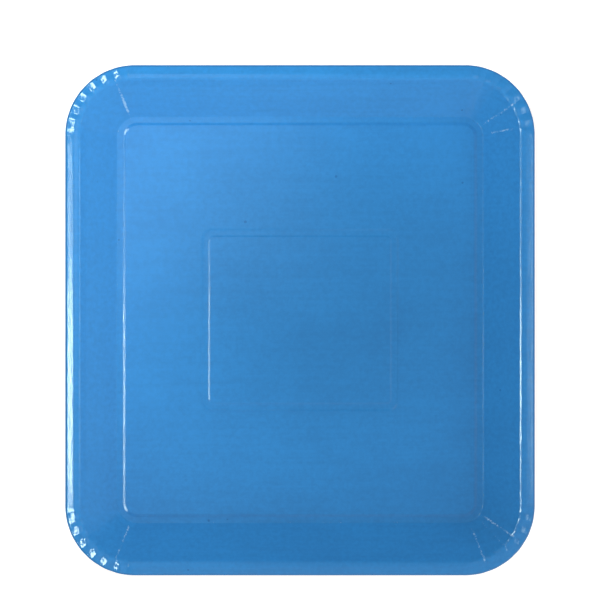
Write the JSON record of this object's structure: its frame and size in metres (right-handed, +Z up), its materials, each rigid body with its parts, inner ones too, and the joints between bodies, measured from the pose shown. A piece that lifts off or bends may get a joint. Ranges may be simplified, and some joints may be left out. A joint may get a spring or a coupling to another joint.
{
  "type": "paperboard plate",
  "caption": "Shallow rectangular paperboard plate, press-formed with pleated corners and a turned-down rim, printed blue and varnished on its food side.",
  "frame": {"origin": "middle of the plate on the surface it stands on, at the underside of the pressed foot groove", "axes": "+Z up, out of the open side; +X across the shorter side; +Y along the longer side"},
  "size_m": [0.23, 0.25, 0.017],
  "materials": {
    "printed_face": "gloss",
    "board_core": "matte",
    "back_liner": "matte"
  },
  "bodies": {
    "root": {"printed_face": "printed_face", "board_core": "board_core", "back_liner": "back_liner"}
  },
  "joints": []
}
